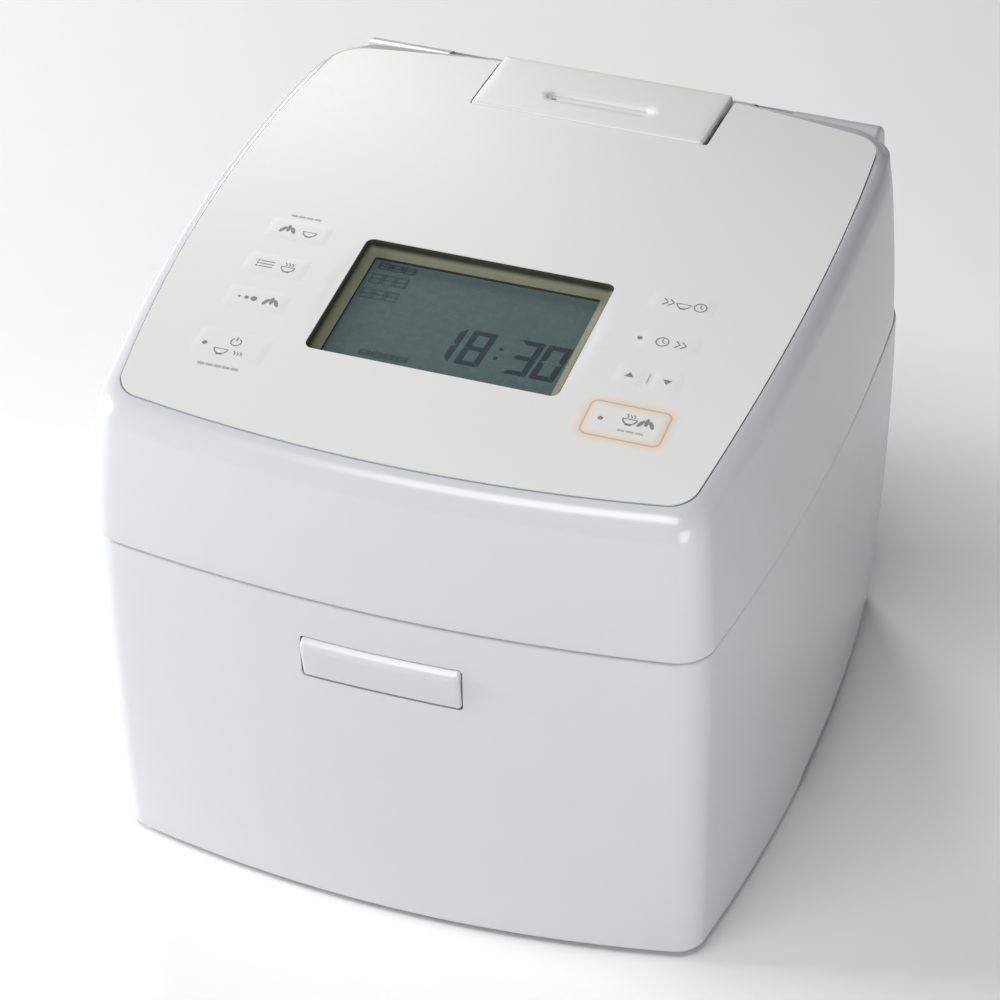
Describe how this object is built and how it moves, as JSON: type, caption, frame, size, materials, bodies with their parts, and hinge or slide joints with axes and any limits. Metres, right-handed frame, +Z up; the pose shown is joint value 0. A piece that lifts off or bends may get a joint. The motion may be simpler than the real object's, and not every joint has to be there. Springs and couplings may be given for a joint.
{
  "type": "rice cooker",
  "caption": "Countertop rice cooker: a bowed square body with a push latch, a rear-hinged lid with touch keys and a display, and a lift-out steam cap.",
  "frame": {"origin": "on the table, under the middle of the bounding box", "axes": "+Z up, -Y the front with the latch, +X the user's right when facing the front"},
  "size_m": [0.2632, 0.2862, 0.231],
  "materials": {
    "case_white": "gloss white moulded plastic",
    "panel_satin": "satin warm-grey white film",
    "grey_plastic": "matte grey moulded plastic",
    "black_plastic": "matte black moulded plastic",
    "rubber": "grey silicone rubber",
    "steel": "plain steel",
    "pot_coating": "dark non-stick coating on aluminium",
    "copper_coil": "enamelled copper litz winding",
    "circuit_board": "solder-masked circuit board",
    "aluminium": "plain aluminium",
    "clear_window": "clear window film",
    "display_frame": "matte khaki frame",
    "lcd_glass": "dark blue-grey display glass"
  },
  "bodies": {
    "base": {"body_shell": "case_white", "base_plate": "grey_plastic", "foot_front_left": "rubber", "foot_front_right": "rubber", "foot_rear_left": "rubber", "foot_rear_right": "rubber", "screw_front_left": "steel", "screw_front_right": "steel", "screw_rear_left": "steel", "screw_rear_right": "steel", "top_frame": "case_white", "pot_well": "grey_plastic", "inner_pot": "pot_coating", "bottom_coil": "copper_coil", "side_coil": "copper_coil", "coil_cradle": "black_plastic", "ferrite_bars": "black_plastic", "sensor_housing": "black_plastic", "sensor_spring": "steel", "board_bracket": "steel", "main_board": "circuit_board", "heat_sink": "aluminium", "fan_frame": "black_plastic", "cord_outlet": "grey_plastic", "hinge_housing": "case_white", "hinge_shaft": "steel", "hinge_spring": "steel", "latch_bracket": "steel", "latch_pin": "steel", "latch_spring": "steel"},
    "lid": {"lid_shell": "case_white", "lid_panel": "panel_satin", "display_window": "clear_window", "display_frame": "display_frame", "lcd_module": "lcd_glass", "control_board": "circuit_board", "lid_inner_cover": "grey_plastic", "lid_heater": "aluminium", "inner_lid": "steel", "inner_lid_gasket": "rubber", "steam_well": "grey_plastic", "hinge_arm_left": "steel", "hinge_arm_right": "steel", "lid_catch": "steel"},
    "steam_cap": {"steam_cap_top": "panel_satin", "steam_cap_base": "grey_plastic", "steam_seal": "rubber"},
    "fan_rotor": {"fan_rotor": "black_plastic"},
    "sensor_cap": {"sensor_cap": "steel"},
    "latch_button": {"latch_button": "case_white"},
    "key_rice": {"key_rice": "panel_satin"},
    "key_mode": {"key_mode": "panel_satin"},
    "key_texture": {"key_texture": "panel_satin"},
    "key_off": {"key_off": "panel_satin"},
    "key_quick": {"key_quick": "panel_satin"},
    "key_timer": {"key_timer": "panel_satin"},
    "key_hour": {"key_hour": "panel_satin"},
    "key_minute": {"key_minute": "panel_satin"},
    "key_start": {"key_start": "panel_satin"}
  },
  "joints": [
    {"name": "lid_hinge", "type": "hinge", "parent": "base", "child": "lid", "pos_m": [0, 0.1327, 0.216], "axis": [-1, 0, 0], "range_deg": [0, 85]},
    {"name": "latch_press", "type": "hinge", "parent": "base", "child": "latch_button", "pos_m": [0, -0.128, 0.11], "axis": [-1, 0, 0], "range_deg": [0, 6], "stiffness_Nm_per_rad": 0.15, "springref_deg": -8.59},
    {"name": "steam_cap_lift", "type": "slide", "parent": "lid", "child": "steam_cap", "axis": [0, 0, 1], "range_m": [0, 0.04]},
    {"name": "fan_spin", "type": "hinge", "parent": "base", "child": "fan_rotor", "pos_m": [0.082, 0.09, 0.0145], "axis": [0, 0, 1], "continuous": true},
    {"name": "sensor_press", "type": "slide", "parent": "base", "child": "sensor_cap", "axis": [0, 0, 1], "range_m": [-0.0025, 0], "stiffness_N_per_m": 800, "springref_m": 0.0015, "deforming": ["sensor_spring"]},
    {"name": "key_rice_press", "type": "slide", "parent": "lid", "child": "key_rice", "axis": [0, -0.0867, 0.9962], "range_m": [-0.0005, 0], "stiffness_N_per_m": 300, "springref_m": 0.0006},
    {"name": "key_mode_press", "type": "slide", "parent": "lid", "child": "key_mode", "axis": [0, -0.1062, 0.9943], "range_m": [-0.0005, 0], "stiffness_N_per_m": 300, "springref_m": 0.0006},
    {"name": "key_texture_press", "type": "slide", "parent": "lid", "child": "key_texture", "axis": [0, -0.1238, 0.9923], "range_m": [-0.0005, 0], "stiffness_N_per_m": 300, "springref_m": 0.0006},
    {"name": "key_off_press", "type": "slide", "parent": "lid", "child": "key_off", "axis": [0, -0.1468, 0.9892], "range_m": [-0.0005, 0], "stiffness_N_per_m": 300, "springref_m": 0.0006},
    {"name": "key_quick_press", "type": "slide", "parent": "lid", "child": "key_quick", "axis": [0, -0.0867, 0.9962], "range_m": [-0.0005, 0], "stiffness_N_per_m": 300, "springref_m": 0.0006},
    {"name": "key_timer_press", "type": "slide", "parent": "lid", "child": "key_timer", "axis": [0, -0.1066, 0.9943], "range_m": [-0.0005, 0], "stiffness_N_per_m": 300, "springref_m": 0.0006},
    {"name": "key_hour_press", "type": "slide", "parent": "lid", "child": "key_hour", "axis": [0, -0.1247, 0.9922], "range_m": [-0.0005, 0], "stiffness_N_per_m": 300, "springref_m": 0.0006},
    {"name": "key_minute_press", "type": "slide", "parent": "lid", "child": "key_minute", "axis": [0, -0.1247, 0.9922], "range_m": [-0.0005, 0], "stiffness_N_per_m": 300, "springref_m": 0.0006},
    {"name": "key_start_press", "type": "slide", "parent": "lid", "child": "key_start", "axis": [0, -0.146, 0.9893], "range_m": [-0.0005, 0], "stiffness_N_per_m": 300, "springref_m": 0.0006}
  ]
}
